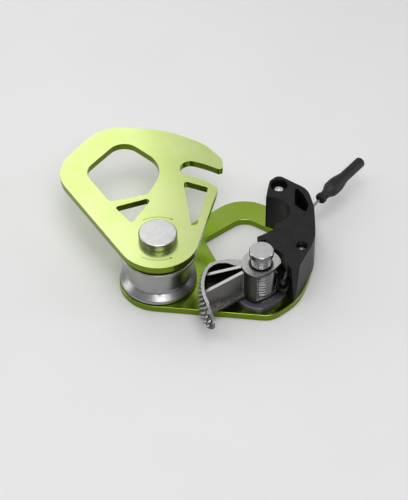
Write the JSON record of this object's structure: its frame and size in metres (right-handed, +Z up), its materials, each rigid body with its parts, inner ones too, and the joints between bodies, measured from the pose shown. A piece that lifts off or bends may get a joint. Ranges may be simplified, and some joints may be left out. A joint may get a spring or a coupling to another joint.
{
  "type": "rope clamping pulley",
  "caption": "Rope-clamping pulley used as an ascender: ball-bearing sheave between two side plates, toothed spring cam, swing-open side plate and a pull-wire cam release.",
  "frame": {"origin": "the sheave axis on the underside of the back plate", "axes": "+Z up along the sheave axle, from the back plate to the swinging front plate; +Y from the sheave axis towards the carabiner hole; +X towards the cam side"},
  "size_m": [0.1062, 0.1241, 0.0295],
  "materials": {
    "anodised_green": "satin anodised, light yellow-green",
    "turned_aluminium": "fine turned, satin",
    "bearing_steel": "ground and polished",
    "sheet_steel": "rolled, satin",
    "spring_steel": "drawn, semi-bright",
    "pin_steel": "turned stainless, bright",
    "cam_steel": "cast stainless, tumbled, semi-bright",
    "dark_liner": "dark plain-bearing liner, satin",
    "brass": "pressed, semi-bright",
    "wire_steel": "stranded, semi-bright",
    "grey_plastic": "moulded, satin, grey with a purple tint",
    "black_plastic": "moulded glass-filled nylon, fine matte grain",
    "black_rubber": "moulded, matte black",
    "grip_rubber": "moulded, matte dark grey"
  },
  "bodies": {
    "frame": {"back_plate": "anodised_green", "sheave_axle": "pin_steel", "back_spacer": "sheet_steel", "front_spacer": "sheet_steel", "wave_washer": "spring_steel", "bearing_inner_ring": "bearing_steel", "cam_pin": "pin_steel", "cam_base": "grey_plastic", "thrust_washer": "sheet_steel", "cam_spring": "spring_steel", "housing": "black_plastic", "housing_screw_upper": "pin_steel", "housing_screw_lower": "pin_steel", "wire_sleeve": "sheet_steel"},
    "side_plate": {"front_plate": "anodised_green"},
    "pulley": {"sheave": "turned_aluminium", "bearing_outer_ring": "bearing_steel", "bearing_shield_back": "sheet_steel", "bearing_shield_front": "sheet_steel", "bearing_circlip": "spring_steel"},
    "ball_set": {"bearing_balls": "bearing_steel", "bearing_cage": "brass"},
    "cam_lever": {"cam": "cam_steel", "cam_bushing_lower": "dark_liner", "cam_bushing_upper": "dark_liner"},
    "release": {"pull_wire": "wire_steel", "wire_nipple": "wire_steel", "grip_collar": "black_rubber", "pull_grip": "grip_rubber"}
  },
  "joints": [
    {"name": "plate_swing", "type": "hinge", "parent": "frame", "child": "side_plate", "pos_m": [0, 0, 0.0245], "axis": [0, 0, 1], "range_deg": [-84, 190]},
    {"name": "sheave_spin", "type": "hinge", "parent": "frame", "child": "pulley", "pos_m": [0, 0, 0.0119], "axis": [0, 0, 1], "continuous": true},
    {"name": "ball_spin", "type": "hinge", "parent": "frame", "child": "ball_set", "pos_m": [0, 0, 0.0119], "axis": [0, 0, 1], "continuous": true},
    {"name": "cam_pivot", "type": "hinge", "parent": "frame", "child": "cam_lever", "pos_m": [0.02528, 0.03354, 0.013], "axis": [0, 0, 1], "range_deg": [-29, 35], "stiffness_Nm_per_rad": 0.02, "springref_deg": -68.75},
    {"name": "wire_pull", "type": "slide", "parent": "frame", "child": "release", "axis": [-0.7396, 0.6731, 0], "range_m": [-0.0044, 0.0053]}
  ],
  "couplings": [
    {"joint": "ball_spin", "follows": "sheave_spin", "ratio": 0.6257},
    {"joint": "wire_pull", "follows": "cam_pivot", "m_per_rad": 0.0084}
  ]
}
